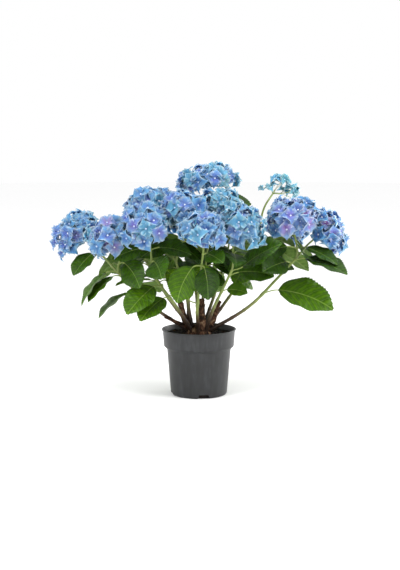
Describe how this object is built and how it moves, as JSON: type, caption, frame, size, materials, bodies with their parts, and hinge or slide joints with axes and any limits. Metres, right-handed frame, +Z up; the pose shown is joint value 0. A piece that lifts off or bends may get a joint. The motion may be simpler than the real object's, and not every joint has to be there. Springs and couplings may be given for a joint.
{
  "type": "potted hydrangea shrub",
  "caption": "Mophead hydrangea in flower, domed blue flower heads on leafy stems from a short woody stock in a round black nursery pot that stands on its flat base.",
  "frame": {"origin": "centre of the pot's flat underside", "axes": "+Z up; +X to the right of the side that the picture shows; -Y out of that side, towards the viewer"},
  "size_m": [0.7588, 0.5488, 0.6064],
  "materials": {
    "pot": "satin moulded black plastic with a fine grain",
    "soil": "dark moist crumbly peat",
    "bark": "thin brown bark with scars and ridges",
    "leaf": "veined green leaf, slightly glossy above and paler below",
    "petal": "soft matte petals from sky blue to violet, paler at the edge"
  },
  "bodies": {
    "root": {"bloom_back": "petal", "bloom_back_far_right": "petal", "bloom_back_left": "petal", "bloom_back_low_left": "petal", "bloom_back_right": "petal", "bloom_centre_left": "petal", "bloom_far_left": "petal", "bloom_front": "petal", "bloom_left_back": "petal", "bloom_left_front": "petal", "bloom_low_left": "petal", "bloom_middle": "petal", "bloom_right_front": "petal", "bloom_right_inner": "petal", "bloom_right_outer": "petal", "bloom_top": "petal", "bloom_young": "petal", "bough_back": "bark", "bough_back_right": "bark", "bough_centre": "bark", "bough_centre_left": "bark", "bough_front": "bark", "bough_left": "bark", "bough_left_back": "bark", "bough_left_front": "bark", "bough_right": "bark", "bough_right_back": "bark", "bough_right_front": "bark", "foliage_back": "leaf", "foliage_back_right": "leaf", "foliage_centre": "leaf", "foliage_centre_left": "leaf", "foliage_front": "leaf", "foliage_left": "leaf", "foliage_left_back": "leaf", "foliage_left_front": "leaf", "foliage_right": "leaf", "foliage_right_back": "leaf", "foliage_right_front": "leaf", "pot": "pot", "soil": "soil", "stock": "bark"}
  },
  "joints": []
}
